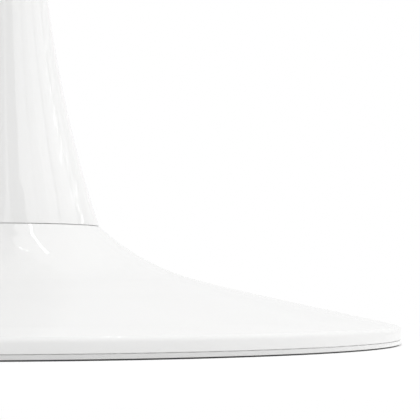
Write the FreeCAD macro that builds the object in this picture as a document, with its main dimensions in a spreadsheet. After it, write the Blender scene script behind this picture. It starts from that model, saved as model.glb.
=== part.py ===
import FreeCAD, Part
import math
import os
import re
import Sketcher
from FreeCAD import Vector

# Tulip table base: a cast foot and a cast column, clamped by a tie rod under a steel top plate.
# Millimetres, +Z up. The origin is on the floor, on the axis of the column.

# Driving dimensions, in millimetres and degrees
SIZES = {
    # foot casting
    "foot_radius": "300",
    "rim_height": "13.5",            # where the cone would meet the skirt, before rounding
    "rim_round": "4",
    "skirt_round": "0.5",
    "rim_land_width": "22",          # flat underside of the rim
    "foot_wall": "6",
    "flare_angle": "42.6",           # slope at the seam, where the hollow curve starts
    "ease_angle": "14.5",            # slope where a longer curve takes over
    "ease_radius": "1250",
    "cone_angle": "12.2",            # slope of the straight run out to the rim
    "deck_thickness": "10",
    "hub_radius": "26",
    "hub_length": "28",
    "casting_fillet": "5",
    "gusset_count": "6",
    "gusset_thickness": "6",
    "gusset_length": "42",
    "gusset_step": "4",              # from the hub's lower end up to the gusset
    # seam between foot and column
    "seam_radius": "75.6",
    "seam_height": "87.1",
    "seam_gap": "0.3",               # shadow gap under the column's outer edge
    "seam_gap_depth": "4",
    "lip_round": "0.6",
    "seat_width": "9",
    "register_height": "4",
    "register_width": "10",
    "register_clearance": "0.15",
    # column casting
    "neck_radius": "28.5",
    "neck_height": "380",
    "top_radius": "65",
    "column_wall": "5",
    "top_seat_width": "9",
    "column_edge_round": "0.4",
    # top plate
    "total_height": "720",
    "plate_radius": "140",
    "plate_thickness": "5",
    "plate_edge_round": "1",
    "boss_radius": "15",
    "boss_length": "25",
    "weld_leg": "3",
    "screw_hole_radius": "3.25",
    "screw_circle_radius": "125",
    "screw_count": "6",
    # tie rod and what tightens it
    "rod_radius": "6",
    "rod_clearance": "0.5",
    "thread_clearance": "0.1",
    "rod_recess": "1",               # upper end, below the top face of the plate
    "rod_tail": "7",                 # lower end, past the nut
    "rod_chamfer": "1",
    "clamp_washer_radius": "30",
    "clamp_washer_thickness": "5",
    "clamp_washer_round": "0.8",
    "spring_washer_radius": "10.5",
    "spring_washer_thickness": "2.5",
    "spring_washer_gap": "2.5",
    "nut_across_flats": "18",
    "nut_height": "10.8",
    "nut_face_inset": "0.4",         # from the flats in to the turned end face
    "nut_chamfer_angle": "30",
    # floor ring and grip strip
    "ring_inset": "0.3",
    "ring_width": "15",
    "ring_height": "3.2",
    "ring_edge_round": "0.5",
    "tongue_inset": "6",
    "tongue_width": "3",
    "tongue_height": "4",
    "tongue_clearance": "0.2",
    "tongue_end_clearance": "0.4",
    "strip_inset": "1.2",
    "strip_width": "9",
    "strip_height": "2",
    "strip_show": "1",               # how far the strip stands out below the ring
    "strip_clearance": "0.1",
}

# Heights and radii that several pieces share, written in the driving dimensions
LAND_HEIGHT = "(strip_show + ring_height)"
DECK_UNDERSIDE = "(seam_height - deck_thickness)"
HUB_END = f"({DECK_UNDERSIDE} - hub_length)"
CLAMP_WASHER_UNDERSIDE = f"({HUB_END} - clamp_washer_thickness)"
SPRING_WASHER_UNDERSIDE = f"({CLAMP_WASHER_UNDERSIDE} - spring_washer_thickness)"
NUT_UNDERSIDE = f"({SPRING_WASHER_UNDERSIDE} - nut_height)"
ROD_END = f"({NUT_UNDERSIDE} - rod_tail)"
PLATE_UNDERSIDE = "(total_height - plate_thickness)"
BASE_BORE_RADIUS = "(seam_radius - seat_width)"
TOP_BORE_RADIUS = "(top_radius - top_seat_width)"
RING_RADIUS = "(foot_radius - ring_inset)"
TONGUE_RADIUS = f"({RING_RADIUS} - tongue_inset)"
STRIP_RADIUS = f"({RING_RADIUS} - strip_inset)"
ROD_HOLE_RADIUS = "(rod_radius + rod_clearance)"
THREAD_HOLE_RADIUS = "(rod_radius + thread_clearance)"


def arc_run(upper, lower):
    """How far a curve of radius 1 runs outwards between two slopes."""
    return f"(sin({upper} * 1 deg) - sin({lower} * 1 deg))"


def arc_drop(upper, lower):
    """How far that curve drops."""
    return f"(cos({lower} * 1 deg) - cos({upper} * 1 deg))"


def off_cone(run, drop):
    """How far a run and a drop lead away from the slope of the cone."""
    return f"(({drop}) * cos(cone_angle * 1 deg) - ({run}) * sin(cone_angle * 1 deg))"


# The hollow curve below the seam takes the run and drop that the easing curve and the cone leave for it
FLARE_RUN = arc_run("flare_angle", "ease_angle")
FLARE_OFF_CONE = off_cone(FLARE_RUN, arc_drop("flare_angle", "ease_angle"))
EASE_OFF_CONE = off_cone(arc_run("ease_angle", "cone_angle"), arc_drop("ease_angle", "cone_angle"))
FOOT_OFF_CONE = off_cone("foot_radius - seam_radius", "seam_height - rim_height")
FLARE_RADIUS = f"(({FOOT_OFF_CONE} - ease_radius * {EASE_OFF_CONE}) / {FLARE_OFF_CONE})"

FIRST_SPOT, FIRST_REACH = 20, 10     # where an outline is drawn before its dimensions move it
START, END, CENTRE = 1, 2, 3         # the points of a sketch edge
ORIGIN = (-1, 1)                     # the sketch's own origin
ACROSS_AXIS, UP_AXIS = -1, -2        # the sketch's own axes

doc = FreeCAD.newDocument("TulipTableBase")
sheet = doc.addObject("Spreadsheet::Sheet", "Sizes")
for row, (alias, text) in enumerate(SIZES.items(), start=1):
    sheet.set(f"A{row}", alias)
    sheet.set(f"B{row}", text)
    sheet.setAlias(f"B{row}", alias)
doc.recompute()


def size(alias):
    """The number in one cell."""
    return float(sheet.get(alias))


def cells(formula):
    """A formula in plain size names, with each name pointing to its cell."""
    return re.sub(r"[a-z]+_[a-z_]+", lambda name: f"Sizes.{name.group()}", formula)


def worth(formula):
    """The number that a formula in plain size names comes to."""
    return float(sheet.evalExpression(cells(formula)))


def new_body(label, height="0"):
    """A body on the axis, with its own origin at the given height."""
    body = doc.addObject("PartDesign::Body", label)
    body.Label = label
    if height != "0":
        body.setExpression("Placement.Base.z", cells(height))
    return body


def new_sketch(body, name, role):
    """A sketch on one of the body's own origin planes."""
    plane = next(feature for feature in body.Origin.OriginFeatures if feature.Role == role)
    sketch = body.newObject("Sketcher::SketchObject", name)
    sketch.AttachmentSupport = [(plane, "")]
    sketch.MapMode = "FlatFace"
    return sketch


def bind(sketch, name, constraint, formula):
    """Add a dimension and tie it to the sheet."""
    index = sketch.addConstraint(constraint)
    sketch.renameConstraint(index, name)
    sketch.setExpression(f"Constraints.{name}", cells(formula))


def line(sketch, start, end):
    """A straight edge."""
    return sketch.addGeometry(Part.LineSegment(Vector(*start), Vector(*end)))


def arc(sketch, centre, start, end):
    """A round edge that runs anticlockwise from start to end."""
    middle = Vector(*centre)
    first, last = Vector(*start) - middle, Vector(*end) - middle
    circle = Part.Circle(middle, Vector(0, 0, 1), first.Length)
    angles = [math.atan2(spoke.y, spoke.x) % math.tau for spoke in (first, last)]
    return sketch.addGeometry(Part.ArcOfCircle(circle, *angles))


def join(sketch, *ends):
    """Put two edge ends in one corner. Each end is (edge, point)."""
    (first, first_point), (second, second_point) = ends
    sketch.addConstraint(Sketcher.Constraint("Coincident", first, first_point, second, second_point))


def place(sketch, name, edge, point, across, up):
    """Give a corner its distance from the axis and its height."""
    for suffix, kind, formula, axis in (("across", "DistanceX", across, UP_AXIS),
                                        ("up", "DistanceY", up, ACROSS_AXIS)):
        if formula == "0":
            sketch.addConstraint(Sketcher.Constraint("PointOnObject", edge, point, axis))
        elif formula:
            spot = sketch.getPoint(edge, point)
            value = spot.x if kind == "DistanceX" else spot.y
            bind(sketch, f"{name}_{suffix}", Sketcher.Constraint(kind, *ORIGIN, edge, point, value), formula)


def polygon(sketch, corners):
    """A closed outline of straight edges. Each corner is (name, across, up), as formulas."""
    count = len(corners)
    turns = [math.tau * k / count for k in range(count)]
    spots = [(FIRST_SPOT + FIRST_REACH * math.cos(turn), FIRST_SPOT + FIRST_REACH * math.sin(turn), 0)
             for turn in turns]
    edges = [line(sketch, spots[k], spots[(k + 1) % count]) for k in range(count)]
    for k, edge in enumerate(edges):
        join(sketch, (edge, END), (edges[(k + 1) % count], START))
    for edge, (name, across, up) in zip(edges, corners):
        place(sketch, name, edge, START, across, up)


def revolve(body, sketch, kind="PartDesign::Revolution"):
    """Turn a section round the axis: a solid, or with PartDesign::Groove a cut."""
    feature = body.newObject(kind, sketch.Name + "_turned")
    feature.Profile = sketch
    feature.ReferenceAxis = (sketch, ["V_Axis"])
    feature.Angle = 360
    sketch.Visibility = False
    doc.recompute()
    return feature


def turned_body(label, corners, height="0"):
    """A turned piece, from the straight-sided section of its wall."""
    body = new_body(label, height)
    sketch = new_sketch(body, label + "_section", "XZ_Plane")
    polygon(sketch, corners)
    revolve(body, sketch)
    return body


def round_rims(body, name, formula, *rims, kind="PartDesign::Fillet"):
    """Round or chamfer circular edges of the body. Each rim is (radius, height) in the body's own frame."""
    base = body.Tip
    edges = []
    for radius, height in rims:
        for number, edge in enumerate(base.Shape.Edges, start=1):
            curve = edge.Curve
            if isinstance(curve, Part.Circle) and abs(curve.Radius - radius) < 1e-4 \
                    and abs(curve.Center.z - height) < 1e-4:
                edges.append(f"Edge{number}")
    if len(edges) < len(rims):
        raise RuntimeError(f"{name}: an edge was not found")
    feature = body.newObject(kind, name)
    feature.Base = (base, edges)
    feature.setExpression("Radius" if kind == "PartDesign::Fillet" else "Size", cells(formula))
    doc.recompute()


def cut_round(body, sketch):
    """A turned groove, which has to take material away."""
    before = body.Shape.Volume
    revolve(body, sketch, "PartDesign::Groove")
    if body.Shape.Volume > before - 1e-3:
        raise RuntimeError(f"{sketch.Name} cuts nothing")


def cut_through(body, sketch):
    """A pocket straight through the body, which has to take material away."""
    before = body.Shape.Volume
    pocket = body.newObject("PartDesign::Pocket", sketch.Name + "_cut")
    pocket.Profile = sketch
    pocket.Type = "ThroughAll"
    pocket.Reversed = True
    sketch.Visibility = False
    doc.recompute()
    if body.Shape.Volume > before - 1e-3:
        raise RuntimeError(f"{sketch.Name} cuts nothing")
    return pocket


def pattern_round(body, feature, count):
    """Repeat a feature evenly round the axis."""
    axis = next(item for item in body.Origin.OriginFeatures if item.Role == "Z_Axis")
    pattern = body.newObject("PartDesign::PolarPattern", feature.Name + "_pattern")
    pattern.Originals = [feature]
    pattern.Axis = (axis, [""])
    pattern.Angle = 360
    pattern.setExpression("Occurrences", cells(count))
    body.Tip = pattern
    doc.recompute()


def foot_section(sketch):
    """Half section of the foot: trumpet shell, rim, deck, hub and the register for the column."""
    radius, long_radius, wall = worth(FLARE_RADIUS), size("ease_radius"), size("foot_wall")
    slopes = [math.radians(size(name)) for name in ("flare_angle", "ease_angle", "cone_angle")]
    seam_spoke, meeting, spoke = [(-math.sin(slope), -math.cos(slope)) for slope in slopes]
    seam = (size("seam_radius"), size("seam_height"), 0)
    rim = (size("foot_radius"), size("rim_height"), 0)

    def along(start, spoke, distance):
        """A point at a distance along a spoke."""
        return (start[0] + distance * spoke[0], start[1] + distance * spoke[1], 0)

    # the flare and the easing curve meet on one spoke, which goes through both their centres
    centre = along(seam, seam_spoke, -radius)
    ease_centre = along(centre, meeting, radius - long_radius)
    tangent = along(ease_centre, spoke, long_radius)

    # the same curves and cone on the inside of the wall
    deck = seam[1] - size("deck_thickness")
    inner_tangent = along(ease_centre, spoke, long_radius + wall)
    inner_deck = (centre[0] - math.sqrt((radius + wall) ** 2 - (centre[1] - deck) ** 2), deck, 0)
    rim_wall = rim[0] - size("rim_land_width")
    run = (rim_wall - inner_tangent[0]) / spoke[1]
    inner_rim = (rim_wall, inner_tangent[1] - run * spoke[0], 0)

    flare = arc(sketch, centre, seam, along(centre, meeting, radius))
    ease = arc(sketch, ease_centre, along(centre, meeting, radius), tangent)
    cone = line(sketch, tangent, rim)
    inner_cone = line(sketch, inner_rim, inner_tangent)
    inner_ease = arc(sketch, ease_centre, along(centre, meeting, radius + wall), inner_tangent)
    inner_flare = arc(sketch, centre, inner_deck, along(centre, meeting, radius + wall))
    join(sketch, (flare, CENTRE), (inner_flare, CENTRE))
    join(sketch, (ease, CENTRE), (inner_ease, CENTRE))
    for first, second, point in ((flare, ease, START), (ease, cone, START),
                                 (inner_flare, inner_ease, START), (inner_ease, inner_cone, END)):
        sketch.addConstraint(Sketcher.Constraint("Tangent", first, END, second, point))
    sketch.addConstraint(Sketcher.Constraint("Parallel", cone, inner_cone))

    # straight edges from the rim round the underside, the hub and the register back to the seam
    low = (rim[0], rim[1] / 2, 0)
    land = (rim_wall, rim[1] / 2, 0)
    skirt = line(sketch, rim, low)
    rim_land = line(sketch, low, land)
    rim_inside = line(sketch, land, inner_rim)
    join(sketch, (cone, END), (skirt, START))
    join(sketch, (skirt, END), (rim_land, START))
    join(sketch, (rim_land, END), (rim_inside, START))
    join(sketch, (rim_inside, END), (inner_cone, START))
    inside = [
        ("deck_inside", "hub_radius", DECK_UNDERSIDE),
        ("hub_end", "hub_radius", HUB_END),
        ("bore_low", ROD_HOLE_RADIUS, HUB_END),
        ("bore_high", ROD_HOLE_RADIUS, "seam_height"),
        ("recess", f"{BASE_BORE_RADIUS} - register_clearance - register_width", "seam_height"),
        ("register_inside", f"{BASE_BORE_RADIUS} - register_clearance - register_width",
         "seam_height + register_height"),
        ("register_outside", f"{BASE_BORE_RADIUS} - register_clearance", "seam_height + register_height"),
        ("seat", f"{BASE_BORE_RADIUS} - register_clearance", "seam_height"),
    ]
    previous, previous_point, spot = inner_flare, START, inner_deck
    for number, (name, across, up) in enumerate(inside):
        corner = (size("hub_radius") + number, deck - number, 0)
        edge = line(sketch, spot, corner)
        join(sketch, (previous, previous_point), (edge, START))
        place(sketch, name, edge, END, across, up)
        previous, previous_point, spot = edge, END, corner
    seat = line(sketch, spot, seam)
    join(sketch, (previous, previous_point), (seat, START))
    join(sketch, (seat, END), (flare, START))

    place(sketch, "seam", flare, START, "seam_radius", "seam_height")
    place(sketch, "flare", flare, CENTRE, f"seam_radius + {FLARE_RADIUS} * sin(flare_angle * 1 deg)",
          f"seam_height + {FLARE_RADIUS} * cos(flare_angle * 1 deg)")
    place(sketch, "ease", ease, START, f"seam_radius + {FLARE_RADIUS} * {FLARE_RUN}", None)
    place(sketch, "rim", cone, END, "foot_radius", "rim_height")
    place(sketch, "land_outside", skirt, END, "foot_radius", LAND_HEIGHT)
    place(sketch, "land_inside", rim_land, END, "foot_radius - rim_land_width", LAND_HEIGHT)
    place(sketch, "rim_inside", inner_cone, START, "foot_radius - rim_land_width", None)
    place(sketch, "deck_outside", inner_flare, START, None, DECK_UNDERSIDE)
    bind(sketch, "ease_radius", Sketcher.Constraint("Radius", ease, long_radius), "ease_radius")
    bind(sketch, "inner_flare_radius", Sketcher.Constraint("Radius", inner_flare, radius + wall),
         f"{FLARE_RADIUS} + foot_wall")


def make_foot():
    """The foot casting, with a groove for the ring's tongue and gussets under the deck."""
    foot = new_body("foot")
    section = new_sketch(foot, "foot_section", "XZ_Plane")
    foot_section(section)
    revolve(foot, section)

    hub_radius, deck = size("hub_radius"), size("seam_height") - size("deck_thickness")
    land = size("strip_show") + size("ring_height")
    round_rims(foot, "hub_fillet", "casting_fillet", (hub_radius, deck))
    round_rims(foot, "rim_rounding", "rim_round", (size("foot_radius"), size("rim_height")))
    round_rims(foot, "skirt_rounding", "skirt_round", (size("foot_radius"), land))
    round_rims(foot, "lip_rounding", "lip_round", (size("seam_radius"), size("seam_height")))

    groove = new_sketch(foot, "tongue_groove", "XZ_Plane")
    outside = f"{TONGUE_RADIUS} + tongue_clearance"
    inside = f"{TONGUE_RADIUS} - tongue_width - tongue_clearance"
    top = f"{LAND_HEIGHT} + tongue_height + tongue_end_clearance"
    polygon(groove, [("low_inside", inside, LAND_HEIGHT), ("low_outside", outside, LAND_HEIGHT),
                     ("high_outside", outside, top), ("high_inside", inside, top)])
    cut_round(foot, groove)

    gusset = new_sketch(foot, "gusset", "XZ_Plane")
    root, tip = "hub_radius / 2 + rod_radius / 2", "hub_radius + gusset_length"
    polygon(gusset, [("low", root, f"{HUB_END} + gusset_step"),
                     ("low_edge", "hub_radius", f"{HUB_END} + gusset_step"),
                     ("tip", tip, DECK_UNDERSIDE),
                     ("tip_sunk", tip, f"{DECK_UNDERSIDE} + deck_thickness / 2"),
                     ("root_sunk", root, f"{DECK_UNDERSIDE} + deck_thickness / 2")])
    pad = foot.newObject("PartDesign::Pad", "gusset_web")
    pad.Profile = gusset
    pad.setExpression("Length", cells("gusset_thickness"))
    pad.Midplane = True
    gusset.Visibility = False
    doc.recompute()
    pattern_round(foot, pad, "gusset_count")
    return foot


def column_section(sketch):
    """Half section of the column: two hollow curves that meet upright at the neck, and a shadow gap."""
    rise = {"base": size("seam_height"), "neck": size("neck_height"),
            "top": size("total_height") - size("plate_thickness")}
    neck, wall = size("neck_radius"), size("column_wall")
    neck_up = rise["neck"] - rise["base"]
    top_up = rise["top"] - rise["base"]
    gap, gap_radius = size("seam_gap"), size("seam_radius") - size("seam_gap_depth")

    def bow(end_radius, end_up):
        """Radius of the curve that leaves the neck upright and reaches the end."""
        out, along = end_radius - neck, end_up - neck_up
        return (along ** 2 + out ** 2) / (2 * out)

    base_centre = (neck + bow(size("seam_radius"), gap), neck_up, 0)
    top_centre = (neck + bow(size("top_radius"), top_up), neck_up, 0)
    base_bore = size("seam_radius") - size("seat_width")
    top_bore = size("top_radius") - size("top_seat_width")

    def on_inside(centre, bore, side):
        """Where a bore leaves the inner curve, below the neck (side -1) or above it (side 1)."""
        inner = centre[0] - neck + wall
        return (bore, centre[1] + side * math.sqrt(inner ** 2 - (centre[0] - bore) ** 2), 0)

    neck_spot, inner_neck = (neck, neck_up, 0), (neck - wall, neck_up, 0)
    base_spot, top_spot = (size("seam_radius"), gap, 0), (size("top_radius"), top_up, 0)
    base_inner = on_inside(base_centre, base_bore, -1)
    top_inner = on_inside(top_centre, top_bore, 1)

    outer_base = arc(sketch, base_centre, neck_spot, base_spot)
    outer_top = arc(sketch, top_centre, top_spot, neck_spot)
    inner_base = arc(sketch, base_centre, inner_neck, base_inner)
    inner_top = arc(sketch, top_centre, top_inner, inner_neck)
    top_seat = line(sketch, top_spot, (top_bore, top_up, 0))
    top_wall = line(sketch, (top_bore, top_up, 0), top_inner)
    base_wall = line(sketch, base_inner, (base_bore, 0, 0))
    base_seat = line(sketch, (base_bore, 0, 0), (gap_radius, 0, 0))
    gap_wall = line(sketch, (gap_radius, 0, 0), (gap_radius, gap, 0))
    gap_roof = line(sketch, (gap_radius, gap, 0), base_spot)

    join(sketch, (outer_base, START), (outer_top, END))
    join(sketch, (outer_top, START), (top_seat, START))
    join(sketch, (top_seat, END), (top_wall, START))
    join(sketch, (top_wall, END), (inner_top, START))
    join(sketch, (inner_top, END), (inner_base, START))
    join(sketch, (inner_base, END), (base_wall, START))
    join(sketch, (base_wall, END), (base_seat, START))
    join(sketch, (base_seat, END), (gap_wall, START))
    join(sketch, (gap_wall, END), (gap_roof, START))
    join(sketch, (gap_roof, END), (outer_base, END))
    join(sketch, (outer_base, CENTRE), (inner_base, CENTRE))
    join(sketch, (outer_top, CENTRE), (inner_top, CENTRE))

    up_to_neck = "neck_height - seam_height"
    up_to_top = f"{PLATE_UNDERSIDE} - seam_height"
    place(sketch, "base", outer_base, END, "seam_radius", "seam_gap")
    place(sketch, "seat_edge", base_seat, END, "seam_radius - seam_gap_depth", "0")
    place(sketch, "gap_corner", gap_wall, END, "seam_radius - seam_gap_depth", "seam_gap")
    place(sketch, "base_bore", base_wall, END, BASE_BORE_RADIUS, "0")
    place(sketch, "base_wall", base_wall, START, BASE_BORE_RADIUS, None)
    place(sketch, "neck", outer_base, START, "neck_radius", up_to_neck)
    place(sketch, "inner_neck", inner_base, START, "neck_radius - column_wall", up_to_neck)
    place(sketch, "top", outer_top, START, "top_radius", up_to_top)
    place(sketch, "top_bore", top_seat, END, TOP_BORE_RADIUS, up_to_top)
    place(sketch, "top_wall", top_wall, END, TOP_BORE_RADIUS, None)
    place(sketch, "base_centre", outer_base, CENTRE, None, up_to_neck)
    place(sketch, "top_centre", outer_top, CENTRE, None, up_to_neck)


def make_column():
    """The column casting, which stands on the foot's deck, round its register."""
    column = new_body("column", "seam_height")
    section = new_sketch(column, "column_section", "XZ_Plane")
    column_section(section)
    revolve(column, section)
    round_rims(column, "column_edge_rounding", "column_edge_round", (size("seam_radius"), size("seam_gap")))
    return column


def make_top_plate():
    """Round plate with a register for the column, a welded threaded boss and screw holes."""
    register = f"{TOP_BORE_RADIUS} - register_clearance"
    shoulder = "boss_length - register_height"
    plate = turned_body("top_plate", [
        ("bore_low", THREAD_HOLE_RADIUS, "0"),
        ("boss_low", "boss_radius", "0"),
        ("boss_high", "boss_radius", shoulder),
        ("register_low", register, shoulder),
        ("register_high", register, "boss_length"),
        ("plate_low", "plate_radius", "boss_length"),
        ("plate_high", "plate_radius", "boss_length + plate_thickness"),
        ("bore_high", THREAD_HOLE_RADIUS, "boss_length + plate_thickness"),
    ], f"{PLATE_UNDERSIDE} - boss_length")
    underside = size("boss_length")
    round_rims(plate, "boss_weld", "weld_leg", (size("boss_radius"), underside - size("register_height")))
    round_rims(plate, "plate_edge_rounding", "plate_edge_round", (size("plate_radius"), underside),
               (size("plate_radius"), underside + size("plate_thickness")))

    hole = new_sketch(plate, "screw_hole", "XY_Plane")
    circle_spot = Vector(size("screw_circle_radius"), 0, 0)
    ring = hole.addGeometry(Part.Circle(circle_spot, Vector(0, 0, 1), size("screw_hole_radius")))
    place(hole, "screw_hole", ring, CENTRE, "screw_circle_radius", "0")
    bind(hole, "screw_hole_size", Sketcher.Constraint("Radius", ring, size("screw_hole_radius")),
         "screw_hole_radius")
    pattern_round(plate, cut_through(plate, hole), "screw_count")
    return plate


def make_tie_rod():
    """Straight rod from under the nut to just below the top face of the plate."""
    rod = new_body("tie_rod", ROD_END)
    sketch = new_sketch(rod, "rod_section", "XY_Plane")
    ring = sketch.addGeometry(Part.Circle(Vector(), Vector(0, 0, 1), size("rod_radius")))
    join(sketch, (ring, CENTRE), ORIGIN)
    bind(sketch, "rod_size", Sketcher.Constraint("Radius", ring, size("rod_radius")), "rod_radius")
    pad = rod.newObject("PartDesign::Pad", "rod_length")
    pad.Profile = sketch
    pad.setExpression("Length", cells(f"total_height - rod_recess - {ROD_END}"))
    sketch.Visibility = False
    doc.recompute()
    ends = [(size("rod_radius"), 0), (size("rod_radius"), pad.Length.Value)]
    round_rims(rod, "rod_end_chamfers", "rod_chamfer", *ends, kind="PartDesign::Chamfer")
    return rod


def make_clamp_washer():
    """Wide thick washer that spreads the rod's pull over the hub."""
    washer = turned_body("clamp_washer", [
        ("low_inside", ROD_HOLE_RADIUS, "0"),
        ("low_outside", "clamp_washer_radius", "0"),
        ("high_outside", "clamp_washer_radius", "clamp_washer_thickness"),
        ("high_inside", ROD_HOLE_RADIUS, "clamp_washer_thickness"),
    ], CLAMP_WASHER_UNDERSIDE)
    radius, thickness = size("clamp_washer_radius"), size("clamp_washer_thickness")
    round_rims(washer, "clamp_washer_rounding", "clamp_washer_round", (radius, 0), (radius, thickness))
    return washer


def make_spring_washer():
    """Split washer, pressed flat by the nut."""
    washer = turned_body("spring_washer", [
        ("low_inside", THREAD_HOLE_RADIUS, "0"),
        ("low_outside", "spring_washer_radius", "0"),
        ("high_outside", "spring_washer_radius", "spring_washer_thickness"),
        ("high_inside", THREAD_HOLE_RADIUS, "spring_washer_thickness"),
    ], SPRING_WASHER_UNDERSIDE)
    slit = new_sketch(washer, "slit", "XY_Plane")
    inside, outside = "rod_radius / 2", "spring_washer_radius + rod_radius"
    polygon(slit, [
        ("inside", inside, "0"),
        ("outside", outside, "0"),
        ("outside_far", outside, "spring_washer_gap"),
        ("inside_far", inside, "spring_washer_gap"),
    ])
    cut_through(washer, slit)
    return washer


def hexagon(sketch, name, flats):
    """A regular hexagon round the origin, with one corner on the first axis."""
    corner_radius = size(flats) / math.sqrt(3)
    corners = [(corner_radius * math.cos(k * math.pi / 3), corner_radius * math.sin(k * math.pi / 3), 0)
               for k in range(6)]
    guide = sketch.addGeometry(Part.Circle(Vector(), Vector(0, 0, 1), corner_radius), True)
    join(sketch, (guide, CENTRE), ORIGIN)
    edges = [line(sketch, corners[k - 1], corners[k]) for k in range(6)]
    for k, edge in enumerate(edges):
        join(sketch, (edges[k - 1], END), (edge, START))
        sketch.addConstraint(Sketcher.Constraint("PointOnObject", edge, START, guide))
        if k:
            sketch.addConstraint(Sketcher.Constraint("Equal", edges[0], edge))
    sketch.addConstraint(Sketcher.Constraint("PointOnObject", edges[1], START, ACROSS_AXIS))
    bind(sketch, name, Sketcher.Constraint("Radius", guide, corner_radius), f"{flats} / sqrt(3)")


def make_tie_nut():
    """Hexagon nut with turned-off corners."""
    nut = new_body("tie_nut", NUT_UNDERSIDE)
    sketch = new_sketch(nut, "nut_outline", "XY_Plane")
    hexagon(sketch, "nut_corners", "nut_across_flats")
    ring = sketch.addGeometry(Part.Circle(Vector(), Vector(0, 0, 1), size("rod_radius")))
    join(sketch, (ring, CENTRE), ORIGIN)
    bind(sketch, "nut_hole", Sketcher.Constraint("Radius", ring, size("rod_radius")), THREAD_HOLE_RADIUS)
    pad = nut.newObject("PartDesign::Pad", "nut_blank")
    pad.Profile = sketch
    pad.setExpression("Length", cells("nut_height"))
    sketch.Visibility = False
    doc.recompute()

    face = "nut_across_flats / 2 - nut_face_inset"
    drop = f"(nut_across_flats - {face}) * tan(nut_chamfer_angle * 1 deg)"
    for name, end, edge in (("lower", "0", drop), ("upper", "nut_height", f"nut_height - ({drop})")):
        corners = new_sketch(nut, f"{name}_chamfer", "XZ_Plane")
        polygon(corners, [("face", face, end), ("outside", "nut_across_flats", end),
                          ("edge", "nut_across_flats", edge)])
        cut_round(nut, corners)
    return nut


def make_floor_ring():
    """Ring under the rim: a band that shows, a tongue in the rim and a channel for the strip."""
    channel_inside = f"{STRIP_RADIUS} - strip_width - strip_clearance"
    channel_outside = f"{STRIP_RADIUS} + strip_clearance"
    channel_depth = "strip_height - strip_show"
    ring = turned_body("floor_ring", [
        ("outside_low", RING_RADIUS, "0"),
        ("outside_high", RING_RADIUS, "ring_height"),
        ("tongue_outside_low", TONGUE_RADIUS, "ring_height"),
        ("tongue_outside_high", TONGUE_RADIUS, "ring_height + tongue_height"),
        ("tongue_inside_high", f"{TONGUE_RADIUS} - tongue_width", "ring_height + tongue_height"),
        ("tongue_inside_low", f"{TONGUE_RADIUS} - tongue_width", "ring_height"),
        ("inside_high", f"{RING_RADIUS} - ring_width", "ring_height"),
        ("inside_low", f"{RING_RADIUS} - ring_width", "0"),
        ("channel_inside_low", channel_inside, "0"),
        ("channel_inside_high", channel_inside, channel_depth),
        ("channel_outside_high", channel_outside, channel_depth),
        ("channel_outside_low", channel_outside, "0"),
    ], "strip_show")
    round_rims(ring, "ring_edge_rounding", "ring_edge_round",
               (size("foot_radius") - size("ring_inset"), size("ring_height")))
    return ring


def make_grip_strip():
    """Flat rubber strip, which the whole base stands on."""
    return turned_body("grip_strip", [
        ("low_inside", f"{STRIP_RADIUS} - strip_width", "0"),
        ("low_outside", STRIP_RADIUS, "0"),
        ("high_outside", STRIP_RADIUS, "strip_height"),
        ("high_inside", f"{STRIP_RADIUS} - strip_width", "strip_height"),
    ])


def check_document():
    """Stop if any object failed."""
    for item in doc.Objects:
        if "Invalid" in item.State or "Error" in item.State:
            raise RuntimeError(f"{item.Label} failed: {item.State}")


pieces = [
    make_foot(),
    make_column(),
    make_floor_ring(),
    make_grip_strip(),
    make_tie_rod(),
    make_clamp_washer(),
    make_spring_washer(),
    make_tie_nut(),
    make_top_plate(),
]
doc.recompute()
check_document()
for piece in pieces:
    if piece.Shape.isNull() or not piece.Shape.isValid():
        raise RuntimeError(f"{piece.Label} has no valid shape")

os.makedirs("parts", exist_ok=True)
for piece in pieces:
    piece.Shape.exportStep(f"parts/{piece.Label}.step")
    print(piece.Label, round(piece.Shape.Volume), "mm3")
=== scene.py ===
# %% [markdown]
# # A tulip table base in gloss white lacquer
# The base is two aluminium castings, a wide flared foot and a waisted column, with a thin seam between
# them. The exact solids come from CAD and are loaded as a fixed frame. This lesson adds what CAD leaves
# out: the finish of every surface, smooth skins for the castings, the thread on the tie rod, and a small
# photo studio. Blender works in metres here, in the same frame as the solids: +Z is up and the floor is
# at zero.

# %% Load the frame
import math
import random

import bmesh
import bpy
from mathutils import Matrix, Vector
from mathutils.bvhtree import BVHTree


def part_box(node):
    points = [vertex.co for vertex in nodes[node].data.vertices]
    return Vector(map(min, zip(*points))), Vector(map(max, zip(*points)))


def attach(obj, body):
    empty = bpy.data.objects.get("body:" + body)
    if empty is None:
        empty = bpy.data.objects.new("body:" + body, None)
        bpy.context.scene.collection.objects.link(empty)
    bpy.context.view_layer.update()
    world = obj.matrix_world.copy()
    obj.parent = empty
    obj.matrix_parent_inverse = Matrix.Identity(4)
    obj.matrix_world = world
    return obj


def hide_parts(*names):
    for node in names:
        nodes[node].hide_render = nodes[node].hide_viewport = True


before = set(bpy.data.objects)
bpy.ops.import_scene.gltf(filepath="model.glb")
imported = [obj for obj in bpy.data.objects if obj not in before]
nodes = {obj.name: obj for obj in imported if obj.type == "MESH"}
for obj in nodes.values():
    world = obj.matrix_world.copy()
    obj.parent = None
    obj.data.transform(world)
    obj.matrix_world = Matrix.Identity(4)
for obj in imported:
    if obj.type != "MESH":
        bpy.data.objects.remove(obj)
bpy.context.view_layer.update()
scene = bpy.context.scene
MILLIMETRE = 0.001
print("solids in the frame:", ", ".join(sorted(nodes)))

# %% [markdown]
# ## Measures
# Sizes that the finishes, the thread and the floor need are read from the solids, so the lesson still
# fits if the CAD model changes. A turned piece is described by its outer radius and its two ends.

# %% Read the main sizes from the solids
def turned_size(node):
    """Outer radius, lower end and upper end of a piece that is turned about the Z axis."""
    low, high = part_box(node)
    return high.x, low.z, high.z


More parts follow.
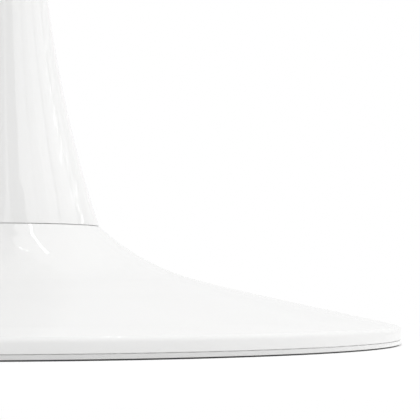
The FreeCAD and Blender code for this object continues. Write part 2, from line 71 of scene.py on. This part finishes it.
foot_radius = turned_size("foot")[0]
seam_height = turned_size("column")[1]
rod_radius, rod_low, rod_high = turned_size("tie_rod")
print(f"foot radius {foot_radius:.4f} m, seam at {seam_height:.4f} m, rod {rod_high - rod_low:.4f} m long")

# %% [markdown]
# ## A small toolbox for finishes
# Every finish below is a Principled shader with a few texture nodes in front of it. Nodes could be added
# one by one, but that is wordy, so `add_node` makes a node and fills or links its inputs in one call.
# Noise is given by the size of its spots in millimetres, because that can be compared with the real
# surface. It reads object coordinates, so the grain stays on the piece from every side.

# %% Helpers that add nodes
NOISE_LOW, NOISE_HIGH = 0.3, 0.7
# a Mix node numbers its two ends and its result differently for each kind of value
MIX_SOCKETS = {"FLOAT": (2, 3, 0), "VECTOR": (4, 5, 1), "RGBA": (6, 7, 2)}


def start_finish(name):
    """A new material, its node tree and its Principled shader."""
    material = bpy.data.materials.new(name)
    material.use_nodes = True
    tree = material.node_tree
    return material, tree, tree.nodes["Principled BSDF"]


def add_node(tree, kind, inputs, **settings):
    """A node with its settings. Each input, by name or number, is a value or a socket to link."""
    node = tree.nodes.new(kind)
    for name, value in settings.items():
        setattr(node, name, value)
    for key, value in inputs.items():
        if isinstance(value, bpy.types.NodeSocket):
            tree.links.new(value, node.inputs[key])
        else:
            node.inputs[key].default_value = value
    return node


def noise(tree, spot_mm, detail=2.0):
    """Noise whose spots are about spot_mm across, from 0 to 1."""
    place = add_node(tree, "ShaderNodeTexCoord", {}).outputs["Object"]
    grain = {"Vector": place, "Scale": 1.0 / (spot_mm * MILLIMETRE), "Detail": detail}
    return add_node(tree, "ShaderNodeTexNoise", grain).outputs["Fac"]


def ramp(tree, value, start, end, low, high):
    """A value that goes from low to high while its source goes from start to end."""
    limits = {"Value": value, "From Min": start, "From Max": end, "To Min": low, "To Max": high}
    return add_node(tree, "ShaderNodeMapRange", limits).outputs["Result"]


def spread(tree, value, low, high):
    """Noise stretched over a range. It rarely leaves the middle of its scale."""
    return ramp(tree, value, NOISE_LOW, NOISE_HIGH, low, high)


def mix(tree, kind, share, first, second):
    """A blend of two values of one kind: the first where share is 0, the second where it is 1."""
    first_socket, second_socket, result = MIX_SOCKETS[kind]
    inputs = {0: share, first_socket: first, second_socket: second}
    return add_node(tree, "ShaderNodeMix", inputs, data_type=kind).outputs[result]


def two_tone(tree, share, first, second):
    """A colour between two, which are shades or sockets."""
    ends = [(*end, 1.0) if isinstance(end, tuple) else end for end in (first, second)]
    return mix(tree, "RGBA", share, *ends)


def relief(tree, height, depth_mm, strength=1.0, under=None):
    """A surface normal from a height between 0 and 1. Reliefs are stacked with under."""
    inputs = {"Height": height, "Strength": strength, "Distance": depth_mm * MILLIMETRE}
    if under is not None:
        inputs["Normal"] = under
    return add_node(tree, "ShaderNodeBump", inputs).outputs["Normal"]


def wire(tree, shader, **sockets):
    """Link values to the shader's inputs, or set them there."""
    for name, value in sockets.items():
        socket = shader.inputs[name.replace("_", " ")]
        if isinstance(value, bpy.types.NodeSocket):
            tree.links.new(value, socket)
        else:
            socket.default_value = value


def dress(material, *names):
    """Give solids of the frame their finish."""
    for name in names:
        for slot in nodes[name].material_slots:
            slot.material = material
    print(f"{material.name}: {', '.join(names)}")


# %% [markdown]
# ## Gloss lacquer on the castings
# The foot and the column are sprayed with a thick white lacquer. Seen close up it isn't a perfect
# mirror: the film has a faint orange peel of a few millimetres, and the casting under it is gently
# wavy, so long reflections wander a little. The column has a shorter ripple too. Weak reliefs, one on
# top of another, give all three. The inside of a casting is never polished: it keeps the grain of the
# mould under a thin dull coat. One material holds both, and a mark on each face says which it is.

# %% Tell the inside of a casting from its outside
INSIDE_MARK = "inside"


def inside_mark(tree):
    """1 on the inside of a casting, 0 on its outside, as marked on the skins below."""
    return add_node(tree, "ShaderNodeAttribute", {}, attribute_name=INSIDE_MARK).outputs["Fac"]


# %% Keep a relief to the column
def column_only(tree, height):
    """A relief's height on the column, and none on the foot under it."""
    place = add_node(tree, "ShaderNodeTexCoord", {}).outputs["Object"]
    level = add_node(tree, "ShaderNodeSeparateXYZ", {0: place}).outputs["Z"]
    above = add_node(tree, "ShaderNodeMath", {0: level, 1: seam_height - MILLIMETRE},
                     operation="GREATER_THAN")
    kept = add_node(tree, "ShaderNodeMath", {0: height, 1: above.outputs[0]}, operation="MULTIPLY")
    return kept.outputs[0]


# %% Mix the lacquer
LACQUER_SHADES = ((0.86, 0.86, 0.855), (0.875, 0.875, 0.87))
CAST_SHADES = ((0.58, 0.58, 0.57), (0.68, 0.68, 0.67))
GLOSS_ROUGHNESS, CAST_ROUGHNESS = (0.012, 0.03), 0.7
FILM_IOR = 1.5


def make_white_lacquer():
    """Gloss white outside, dull mould grain inside."""
    material, tree, shader = start_finish("white_lacquer")
    inside = inside_mark(tree)
    gloss = two_tone(tree, noise(tree, spot_mm=60.0), *LACQUER_SHADES)
    cast = two_tone(tree, noise(tree, spot_mm=6.0, detail=6.0), *CAST_SHADES)
    gloss_roughness = spread(tree, noise(tree, spot_mm=25.0), *GLOSS_ROUGHNESS)
    waves = relief(tree, noise(tree, spot_mm=90.0, detail=1.0), depth_mm=0.25, strength=0.5)
    short_waves = column_only(tree, noise(tree, spot_mm=13.0, detail=1.0))
    ripples = relief(tree, short_waves, depth_mm=0.12, strength=0.5, under=waves)
    peel = relief(tree, noise(tree, spot_mm=3.0, detail=1.0), depth_mm=0.004, strength=0.5, under=ripples)
    grain = relief(tree, noise(tree, spot_mm=1.6, detail=4.0), depth_mm=0.15, strength=0.7)
    normal = mix(tree, "VECTOR", inside, peel, grain)
    roughness = mix(tree, "FLOAT", inside, gloss_roughness, CAST_ROUGHNESS)
    wire(tree, shader, Base_Color=two_tone(tree, inside, gloss, cast), Roughness=roughness, Normal=normal,
         IOR=FILM_IOR)
    return material


white_lacquer = make_white_lacquer()
print("mixed", white_lacquer.name)

# %% [markdown]
# ## A skin for the foot and the column
# The CAD mesh is made face by face, and its normals stop at each face's edge. On a mirror finish that
# shows as a line where the flare runs into the cone. A copy with its points welded has one normal
# there, so reflections run on over the join. Edges that are really sharp are marked and stay sharp.
# The column's normals are also weighted by the size of its faces, so that the small rounding at its
# lower lip doesn't bend the reflections above it. A face is inside where a line from it, outwards and up
# at 45 degrees, meets the casting again.

# %% Weld the skins
def add_piece(name, mesh, material, node):
    """Put a new piece in the scene, in place of a solid."""
    mesh.materials.append(material)
    piece = bpy.data.objects.new(name, mesh)
    scene.collection.objects.link(piece)
    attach(piece, "root")
    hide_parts(node)
    print(f"{name}: {len(mesh.vertices)} points, {len(mesh.polygons)} faces")
    return piece


def welded_mesh(node, sharp_degrees=35.0, reach_mm=0.002):
    """A copy of a solid's mesh with its face seams welded and only its sharp edges kept sharp."""
    source = nodes[node].data
    mesh = bpy.data.meshes.new(node + "_skin")
    mesh.from_pydata([point.co for point in source.vertices], [],
                     [tuple(face.vertices) for face in source.polygons])
    shape = bmesh.new()
    shape.from_mesh(mesh)
    bmesh.ops.remove_doubles(shape, verts=shape.verts, dist=reach_mm * MILLIMETRE)
    shape.to_mesh(mesh)
    shape.free()
    mesh.shade_smooth()
    mesh.set_sharp_from_angle(angle=math.radians(sharp_degrees))
    return mesh


def mark_inside(mesh, lift_mm=0.2):
    """Mark the faces that lie inside a turned casting."""
    tree = BVHTree.FromPolygons([point.co for point in mesh.vertices],
                                [tuple(face.vertices) for face in mesh.polygons])
    marks = []
    for face in mesh.polygons:
        start = face.center + face.normal * lift_mm * MILLIMETRE
        reach = math.hypot(start.x, start.y)
        away = Vector((start.x, start.y, reach)).normalized()
        marks.append(0.0 if tree.ray_cast(start, away)[0] is None else 1.0)
    mesh.attributes.new(INSIDE_MARK, "FLOAT", "FACE").data.foreach_set("value", marks)
    print(f"{mesh.name}: {sum(marks):.0f} of {len(marks)} faces are inside")
    return mesh


foot_skin = add_piece("foot_skin", mark_inside(welded_mesh("foot")), white_lacquer,
                      "foot")
column_skin = add_piece("column_skin", mark_inside(welded_mesh("column")), white_lacquer,
                        "column")
column_skin.modifiers.new("steady_normals", "WEIGHTED_NORMAL").keep_sharp = True

# %% [markdown]
# ## The floor ring and the grip strip
# Under the rim sits a moulded white ring, and in its underside a black rubber strip. Both are thin
# bands, so the solids already have the right shape and only need a finish. Moulded plastic is a little
# greyer and less sharp than lacquer. Rubber is a dull black and scatters what little it reflects, with a
# fine tooth from its mould.

# %% Mix the plastic and the rubber
PLASTIC_SHADES = ((0.745, 0.745, 0.74), (0.775, 0.775, 0.77))
RUBBER_SHADES = ((0.09, 0.09, 0.089), (0.12, 0.12, 0.119))
PLASTIC_ROUGHNESS, RUBBER_ROUGHNESS = (0.09, 0.15), (0.68, 0.82)


def make_white_plastic():
    """Moulded ring: pale grey-white with a soft gloss."""
    material, tree, shader = start_finish("white_plastic")
    wire(tree, shader, Base_Color=two_tone(tree, noise(tree, spot_mm=30.0), *PLASTIC_SHADES),
         Roughness=spread(tree, noise(tree, spot_mm=4.0), *PLASTIC_ROUGHNESS),
         Normal=relief(tree, noise(tree, spot_mm=1.2), depth_mm=0.006, strength=0.6), IOR=FILM_IOR)
    return material


def make_black_rubber():
    """Matt rubber with a fine tooth."""
    material, tree, shader = start_finish("black_rubber")
    tooth = noise(tree, spot_mm=0.5, detail=4.0)
    wire(tree, shader, Base_Color=two_tone(tree, noise(tree, spot_mm=2.5, detail=4.0), *RUBBER_SHADES),
         Roughness=spread(tree, noise(tree, spot_mm=1.5), *RUBBER_ROUGHNESS),
         Normal=relief(tree, tooth, depth_mm=0.05, strength=0.8), Specular_IOR_Level=0.35)
    return material


dress(make_white_plastic(), "floor_ring")
dress(make_black_rubber(), "grip_strip")

# %% [markdown]
# ## Zinc-plated steel
# The rod, the washers and the nut are plain hardware. Zinc plating is a grey metal with a faint cloudy
# bloom, and the turned faces under it show fine rings from the lathe. A wave texture in rings about the
# Z axis gives those, with noise for the bloom.

# %% Mix the zinc
ZINC_SHADES = ((0.62, 0.63, 0.64), (0.73, 0.73, 0.72))
ZINC_ROUGHNESS = (0.26, 0.40)
LATHE_PITCH_MM = 0.5


def lathe_rings(tree, pitch_mm):
    """A height that rises and falls once per pitch, in rings about the Z axis."""
    place = add_node(tree, "ShaderNodeTexCoord", {}).outputs["Object"]
    # a wave texture of scale 1 has its rings about 0.314 apart
    scale = 0.1 * math.pi / (pitch_mm * MILLIMETRE)
    return add_node(tree, "ShaderNodeTexWave", {"Vector": place, "Scale": scale, "Distortion": 0.4},
                    wave_type="RINGS", rings_direction="Z").outputs["Fac"]


def make_zinc_steel():
    """Cloudy grey plating over lathe rings."""
    material, tree, shader = start_finish("zinc_steel")
    rings = relief(tree, lathe_rings(tree, LATHE_PITCH_MM), depth_mm=0.006, strength=0.5)
    bloom = noise(tree, spot_mm=5.0, detail=5.0)
    wire(tree, shader, Base_Color=two_tone(tree, bloom, *ZINC_SHADES), Metallic=1.0,
         Roughness=spread(tree, noise(tree, spot_mm=2.0, detail=4.0), *ZINC_ROUGHNESS),
         Normal=relief(tree, noise(tree, spot_mm=0.7), depth_mm=0.008, strength=0.5, under=rings))
    return material


zinc_steel = make_zinc_steel()
dress(zinc_steel, "clamp_washer", "spring_washer", "tie_nut")

# %% [markdown]
# ## The thread on the tie rod
# CAD keeps the rod plain, with its outer size. The real rod has a metric thread at both ends, one for
# the nut and one for the plate's boss. A screw modifier could sweep it, but then the ends need cutting.
# Here the rod is one grid of points in rings: each point's distance from the axis follows the thread's
# profile, which climbs one pitch per turn. Rows are close only where there is thread.

# %% Shape the threaded rod
PITCH = 1.75 * MILLIMETRE
THREAD_DEPTH = 0.6134 * PITCH
LOWER_THREAD, UPPER_THREAD = 60 * MILLIMETRE, 34 * MILLIMETRE
END_CHAMFER = 1.0 * MILLIMETRE
RING_POINTS, ROWS_PER_PITCH = 32, 10
CREST_SHARP_DEGREES = 40.0


def thread_cut(height, turn):
    """How deep the thread is at a height and an angle, from 0 on the crest to 1 at the root."""
    across = abs((height / PITCH - turn / math.tau) % 1.0 - 0.5)
    flat_crest, flat_root = 1 / 16, 3 / 8
    return min(max((across - flat_crest) / (flat_root - flat_crest), 0.0), 1.0)


def thread_share(height):
    """1 on a threaded end, fading to 0 over one pitch where the thread runs out."""
    below = rod_low + LOWER_THREAD - height
    above = height - (rod_high - UPPER_THREAD)
    return min(max(below / PITCH, above / PITCH, 0.0), 1.0)


def rod_rows():
    """Heights of the rings of points, from the lower end to the upper end."""
    step = PITCH / ROWS_PER_PITCH
    lower = [rod_low + k * step for k in range(int(LOWER_THREAD / step) + 2)]
    upper = [rod_high - k * step for k in range(int(UPPER_THREAD / step) + 2)]
    return lower + upper[::-1]


def rod_point(height, turn):
    """A point of the rod's surface. The end chamfers keep it inside the solid rod."""
    radius = rod_radius - THREAD_DEPTH * thread_share(height) * thread_cut(height, turn)
    from_end = min(height - rod_low, rod_high - height)
    radius = min(radius, rod_radius - max(END_CHAMFER - from_end, 0.0))
    return Vector((radius * math.cos(turn), radius * math.sin(turn), height))


def threaded_rod_mesh():
    """A closed grid round the rod."""
    shape = bmesh.new()
    turns = [math.tau * k / RING_POINTS for k in range(RING_POINTS)]
    rings = [[shape.verts.new(rod_point(height, turn)) for turn in turns] for height in rod_rows()]
    for low, high in zip(rings, rings[1:]):
        for k in range(RING_POINTS):
            after = (k + 1) % RING_POINTS
            shape.faces.new((low[k], low[after], high[after], high[k]))
    shape.faces.new(rings[0][::-1])
    shape.faces.new(rings[-1])
    mesh = bpy.data.meshes.new("threaded_rod")
    shape.to_mesh(mesh)
    shape.free()
    mesh.shade_smooth()
    mesh.set_sharp_from_angle(angle=math.radians(CREST_SHARP_DEGREES))
    return mesh


add_piece("threaded_rod", threaded_rod_mesh(), zinc_steel, "tie_rod")

# %% [markdown]
# ## Powder coat on the top plate
# The plate under the table top is mild steel in black powder coat. The powder melts into a film with a
# close, pebbled skin that is only half glossy. A fine relief of under a millimetre, over a slower one,
# gives the light something to break on.

# %% Mix the powder coat
COAT_SHADES = ((0.028, 0.028, 0.029), (0.04, 0.04, 0.041))
COAT_ROUGHNESS = (0.40, 0.54)


def make_black_powder_coat():
    """Pebbled black film."""
    material, tree, shader = start_finish("black_powder_coat")
    slow = relief(tree, noise(tree, spot_mm=4.0), depth_mm=0.03, strength=0.6)
    pebbles = noise(tree, spot_mm=0.7, detail=3.0)
    wire(tree, shader, Base_Color=two_tone(tree, noise(tree, spot_mm=8.0, detail=4.0), *COAT_SHADES),
         Roughness=spread(tree, noise(tree, spot_mm=3.0), *COAT_ROUGHNESS),
         Normal=relief(tree, pebbles, depth_mm=0.04, strength=0.7, under=slow))
    return material


dress(make_black_powder_coat(), "top_plate")

# %% [markdown]
# ## The floor
# A plain white floor that still shows the object's shadow. Light Path tells the rays apart: rays that
# carry light see a plain pale floor, while the camera and mirror finishes see it partly lit and partly
# glowing, so that it comes out white and only the shadow darkens it. Away from the foot it fades to
# plain white and meets the background without an edge.

# %% Lay the floor
FLOOR_REACH = 12.0
FLOOR_SHADE = 0.84
SHOWN_SHADE, SHOWN_GLOW = 0.72, 0.27
FADE_START, FADE_END = 1.2 * foot_radius, 2.2 * foot_radius


def sees_background(tree):
    """1 for a ray from the camera, in a mirror or through glass, 0 for a ray that carries light."""
    path = add_node(tree, "ShaderNodeLightPath", {}).outputs
    seen = path["Is Camera Ray"]
    for name in ("Is Glossy Ray", "Is Transmission Ray"):
        seen = add_node(tree, "ShaderNodeMath", {0: seen, 1: path[name]}, operation="MAXIMUM").outputs[0]
    return seen


def make_studio_floor():
    """Pale for the light, white with a shadow for the camera."""
    material, tree, shader = start_finish("studio_floor")
    tree.nodes.remove(shader)
    lit = add_node(tree, "ShaderNodeBsdfDiffuse", {"Color": (FLOOR_SHADE, FLOOR_SHADE, FLOOR_SHADE, 1.0)})
    shown = add_node(tree, "ShaderNodeBsdfDiffuse", {"Color": (SHOWN_SHADE, SHOWN_SHADE, SHOWN_SHADE, 1.0)})
    glow = add_node(tree, "ShaderNodeEmission", {"Strength": SHOWN_GLOW})
    shadowed = add_node(tree, "ShaderNodeAddShader", {0: shown.outputs[0], 1: glow.outputs[0]})
    white = add_node(tree, "ShaderNodeEmission", {"Strength": 1.0})
    place = add_node(tree, "ShaderNodeTexCoord", {}).outputs["Object"]
    reach = add_node(tree, "ShaderNodeVectorMath", {0: place}, operation="LENGTH").outputs["Value"]
    away = ramp(tree, reach, FADE_START, FADE_END, 0.0, 1.0)
    seen = add_node(tree, "ShaderNodeMixShader", {0: away, 1: shadowed.outputs[0], 2: white.outputs[0]})
    both = add_node(tree, "ShaderNodeMixShader",
                    {0: sees_background(tree), 1: lit.outputs[0], 2: seen.outputs[0]})
    tree.links.new(both.outputs[0], tree.nodes["Material Output"].inputs["Surface"])
    return material


floor_mesh = bpy.data.meshes.new("floor")
floor_corners = [(x * FLOOR_REACH, y * FLOOR_REACH, 0.0) for x, y in ((-1, -1), (1, -1), (1, 1), (-1, 1))]
floor_mesh.from_pydata(floor_corners, [], [(0, 1, 2, 3)])
floor_mesh.materials.append(make_studio_floor())
floor = bpy.data.objects.new("floor", floor_mesh)
scene.collection.objects.link(floor)
print(f"floor: {2 * FLOOR_REACH:.0f} m wide, fades to white {FADE_END:.2f} m from the axis")

# %% [markdown]
# ## The surroundings
# The object stands in a white room, whose even light reaches every side. What the gloss mirrors is set
# apart from that light: walls just under white, so that the outline stays clear of the background, and
# a brighter ceiling above them, which only the flare and the rim's shoulder are tilted enough to mirror.

# %% Paint the room
ROOM_LIGHT = 0.685
WALL_SHADE, CEILING_SHADE = 0.945, 1.25
CEILING_EDGE_LOW, CEILING_EDGE_HIGH = math.sin(math.radians(28)), math.sin(math.radians(66))


def paint_room():
    """Even light, plain white for the camera, and walls and a brighter ceiling for the gloss."""
    world = bpy.data.worlds.new("studio_room")
    world.use_nodes = True
    tree = world.node_tree
    light = tree.nodes["Background"]
    wire(tree, light, Color=(1.0, 1.0, 1.0, 1.0), Strength=ROOM_LIGHT)
    direction = add_node(tree, "ShaderNodeTexCoord", {}).outputs["Generated"]
    height = add_node(tree, "ShaderNodeSeparateXYZ", {0: direction}).outputs["Z"]
    ceiling = ramp(tree, height, CEILING_EDGE_LOW, CEILING_EDGE_HIGH, WALL_SHADE, CEILING_SHADE)
    path = add_node(tree, "ShaderNodeLightPath", {}).outputs
    mirrored = mix(tree, "FLOAT", path["Is Glossy Ray"], 1.0, ceiling)
    walls = add_node(tree, "ShaderNodeBackground", {"Color": (1.0, 1.0, 1.0, 1.0), "Strength": mirrored})
    both = add_node(tree, "ShaderNodeMixShader",
                    {0: sees_background(tree), 1: light.outputs[0], 2: walls.outputs[0]})
    tree.links.new(both.outputs[0], tree.nodes["World Output"].inputs["Surface"])
    scene.world = world


paint_room()
print(f"room light {ROOM_LIGHT}, mirrored walls {WALL_SHADE}, mirrored ceiling {CEILING_SHADE}")

# %% [markdown]
# ## Softboxes
# White lacquer has no colour of its own to show, so its shape is drawn by what it mirrors. A picture of a
# room could be wrapped round the scene for that, but lamps can be moved one by one. Two large boxes,
# overhead and on the right, give the even light a direction. Two low ones fill in at the floor: one
# brightens the right end of the ring and one the foot's skirt, and light linking keeps each to its
# piece. None of the four shows in the gloss.

# %% Hang the boxes that give light
AIM = Vector((0.0, 0.0, 0.2))
LIGHTING_BOXES = {
    # name: turn, rise, distance, width, height, radiance
    "overhead": (15, 74, 2.4, 2.0, 2.0, 1.9),
    "right_wall": (101, 12, 3.0, 2.6, 2.0, 1.6),
    "ring_wall": (100, 5, 2.0, 1.2, 0.5, 4.0),
    "foot_wall": (28, -1.5, 2.2, 1.4, 0.28, 1.2),
}


def around(turn, rise, distance):
    """A spot round the object: turned from the camera's side towards +X, and raised, in degrees."""
    turn, rise = math.radians(turn), math.radians(rise)
    away = (math.sin(turn) * math.cos(rise), -math.cos(turn) * math.cos(rise), math.sin(rise))
    return AIM + distance * Vector(away)


def softbox(name, spot, width, height, radiance, aim=AIM):
    """A rectangular lamp of an even radiance, facing its aim."""
    lamp = bpy.data.lights.new(name, "AREA")
    lamp.shape = "RECTANGLE"
    lamp.size, lamp.size_y = width, height
    lamp.energy = radiance * math.pi * width * height
    box = bpy.data.objects.new(name, lamp)
    box.location = spot
    box.rotation_euler = (aim - spot).to_track_quat("-Z", "Y").to_euler()
    box.visible_camera = False
    scene.collection.objects.link(box)
    print(f"{name}: {width:.3f} by {height:.3f} m, radiance {radiance}")
    return box


def light_for(piece, name):
    """A collection that keeps a lamp's light to one piece."""
    group = bpy.data.collections.new(name)
    group.objects.link(piece)
    return group


for name, (turn, rise, distance, width, height, radiance) in LIGHTING_BOXES.items():
    softbox(name, around(turn, rise, distance), width, height, radiance).visible_glossy = False
for name, piece in {"ring_wall": nodes["floor_ring"], "foot_wall": foot_skin}.items():
    scene.objects[name].light_linking.receiver_collection = light_for(piece, name + "_light")

# %% [markdown]
# ## Streaks on the column
# The other boxes are only there to be mirrored, so they are hidden from diffuse rays and add no light to
# the object. Tall boxes on the right put long pale streaks on the column, with thin gaps between them. A
# short strip in front and two dim boxes behind add the narrow streak near the middle and a pale right
# edge, and two strips at the back and on the left put a streak on those sides. Light linking keeps all
# these to the column, because the foot is nearly flat and would mirror them in large white patches.

# %% Stand the boxes that the column mirrors
BOX_DISTANCE, TALL = 2.6, 2.0
COLUMN_BOXES = {
    # name: turn, rise, width, height, radiance
    "right_front": (39.5, 12, 0.80, TALL, 1.6),
    "right_side": (65, 12, 1.27, TALL, 1.4),
    "right_back": (95, 12, 1.06, TALL, 0.9),
    "front_strip": (10.5, 30, 0.30, 0.48, 1.2),
    "far_back": (127, 23, 0.90, 0.60, 0.3),
    "edge_back": (150, 17, 1.70, 1.40, 0.08),
    "rear_strip": (205, 20, 0.22, 1.8, 2.2),
    "left_strip": (258, 20, 0.22, 1.8, 2.2),
}
column_light = light_for(column_skin, "column_light")


def column_box(name, spot, width, height, radiance):
    """A softbox that only shows in the column's gloss."""
    box = softbox(name, spot, width, height, radiance)
    box.visible_diffuse = False
    box.light_linking.receiver_collection = column_light


for name, (turn, rise, width, height, radiance) in COLUMN_BOXES.items():
    column_box(name, around(turn, rise, BOX_DISTANCE), width, height, radiance)

# %% [markdown]
# ## Panes and a strip light
# The bright band near the column's right edge is broken into short pieces. A row of small panes, one
# above another and each a little out of line, gives that. They hang close to the column, because its
# hollow curve draws out what is mirrored from further off. A strip light above curves over the flare.

# %% Hang the small panes on the right
PANE_COUNT, PANE_DISTANCE, PANE_RADIANCE = 14, 0.35, 2.0
PANES_LOW, PANES_HIGH, PANE_SHIFT = 0.20, 0.33, 0.3
PANE_TURNS, PANE_WIDTHS, PANE_HEIGHTS = (97, 111), (0.015, 0.09), (0.002, 0.006)
chance = random.Random(5)
for number in range(PANE_COUNT):
    turn = math.radians(chance.uniform(*PANE_TURNS))
    place_in_row = (number + chance.uniform(-PANE_SHIFT, PANE_SHIFT)) / (PANE_COUNT - 1)
    level = PANES_LOW + (PANES_HIGH - PANES_LOW) * place_in_row
    spot = Vector((PANE_DISTANCE * math.sin(turn), -PANE_DISTANCE * math.cos(turn), level))
    width = chance.uniform(*PANE_WIDTHS)
    height = chance.uniform(*PANE_HEIGHTS)
    column_box(f"pane_{number + 1}", spot, width, height, PANE_RADIANCE)

# %% Hang the strip light above the flare
STRIP_SPOT = Vector((0.49, 0.845, 2.075))
STRIP_WIDTH, STRIP_LENGTH, STRIP_RADIANCE = 0.038, 0.9, 5.5
straight_down = STRIP_SPOT - Vector((0.0, 0.0, 1.0))
strip = softbox("ceiling_strip", STRIP_SPOT, STRIP_WIDTH, STRIP_LENGTH, STRIP_RADIANCE, aim=straight_down)
strip.visible_diffuse = False

# %% [markdown]
# ## The camera
# A long lens, low and close to level, looks at the seam from the front and a little past it. The place
# and the turn were fitted to the outline, the seam and the rim in the photograph.

# %% Set up the camera
LENS_MM, SENSOR_MM = 145.0, 36.0
CAMERA_SPOT = (0.0, -1.2781, 0.04606)
UP_DEGREES, RIGHT_DEGREES = 2.418, 7.136


def place_camera():
    """The camera at the photograph's viewpoint."""
    lens = bpy.data.cameras.new("camera")
    lens.lens = LENS_MM
    lens.sensor_width = SENSOR_MM
    camera = bpy.data.objects.new("camera", lens)
    camera.location = CAMERA_SPOT
    camera.rotation_euler = (math.radians(90 + UP_DEGREES), 0.0, math.radians(-RIGHT_DEGREES))
    scene.collection.objects.link(camera)
    scene.camera = camera
    return camera


camera = place_camera()
scene.view_settings.view_transform = "Standard"
print(f"camera {camera.location.length:.3f} m from the origin, lens {camera.data.lens:.0f} mm")
